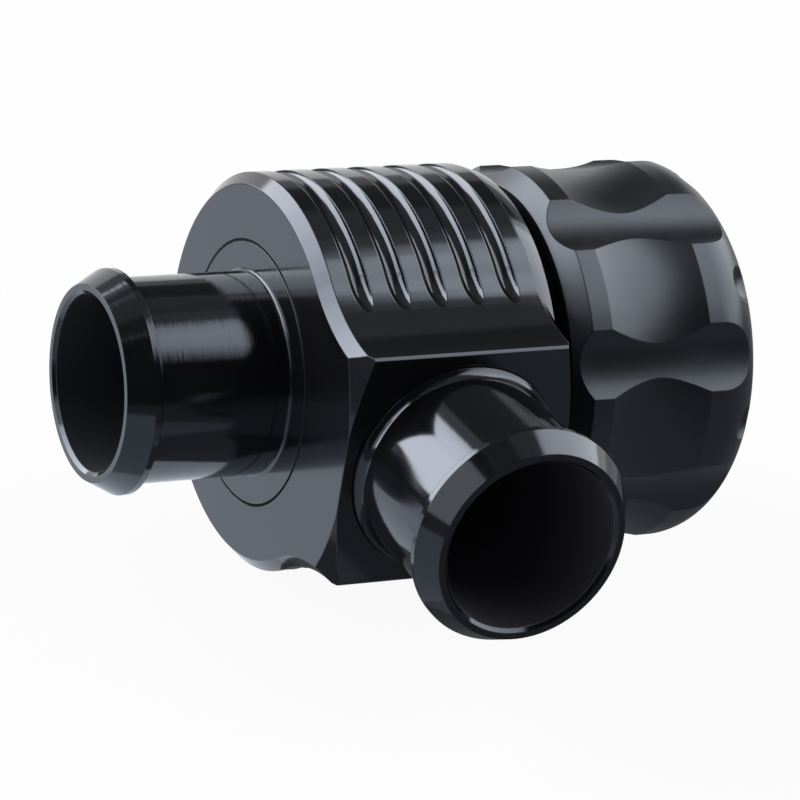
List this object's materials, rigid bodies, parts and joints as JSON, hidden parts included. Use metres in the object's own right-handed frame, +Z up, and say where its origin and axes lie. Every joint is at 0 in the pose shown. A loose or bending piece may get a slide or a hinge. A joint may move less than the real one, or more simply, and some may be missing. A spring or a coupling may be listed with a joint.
{
  "type": "blow off valve",
  "caption": "Piston blow off valve with two beaded hose ports at right angles, a grooved body with a flat boss and a scalloped adjuster cap.",
  "frame": {"origin": "on the valve axis, in the middle of the inlet's hose bead", "axes": "+X along the valve axis from the inlet towards the cap, -Y along the outlet, +Z up"},
  "size_m": [0.0816, 0.0728, 0.0488],
  "materials": {
    "body_black": "gloss black anodised",
    "port_black": "gloss black anodised, finely turned",
    "cap_black": "satin black anodised",
    "piston_black": "hard anodised",
    "seal_rubber": "black rubber",
    "slide_plastic": "low-friction plastic",
    "spring_steel": "bright spring steel"
  },
  "bodies": {
    "housing": {"valve_body": "body_black", "inlet_port": "port_black", "inlet_o_ring": "seal_rubber", "outlet_port": "port_black", "outlet_o_ring": "seal_rubber", "cap_o_ring": "seal_rubber"},
    "piston": {"piston": "piston_black", "nose_seal": "seal_rubber", "piston_seal_front": "seal_rubber", "piston_seal_rear": "seal_rubber", "guide_band": "slide_plastic"},
    "seat": {"spring_seat": "spring_steel", "thrust_washer": "slide_plastic", "return_spring": "spring_steel"},
    "cap": {"cap": "cap_black"}
  },
  "joints": [
    {"name": "piston_slide", "type": "slide", "parent": "housing", "child": "piston", "axis": [1, 0, 0], "range_m": [0, 0.009], "stiffness_N_per_m": 1500, "springref_m": -0.01, "deforming": ["return_spring"]},
    {"name": "seat_travel", "type": "slide", "parent": "housing", "child": "seat", "axis": [1, 0, 0], "range_m": [-0.0025, 0.0025], "deforming": ["return_spring"]},
    {"name": "cap_turn", "type": "hinge", "parent": "seat", "child": "cap", "pos_m": [0.06, 0, 0], "axis": [1, 0, 0], "range_deg": [-600, 600]}
  ],
  "couplings": [
    {"joint": "cap_turn", "follows": "seat_travel", "rad_per_m": 4188.8}
  ]
}
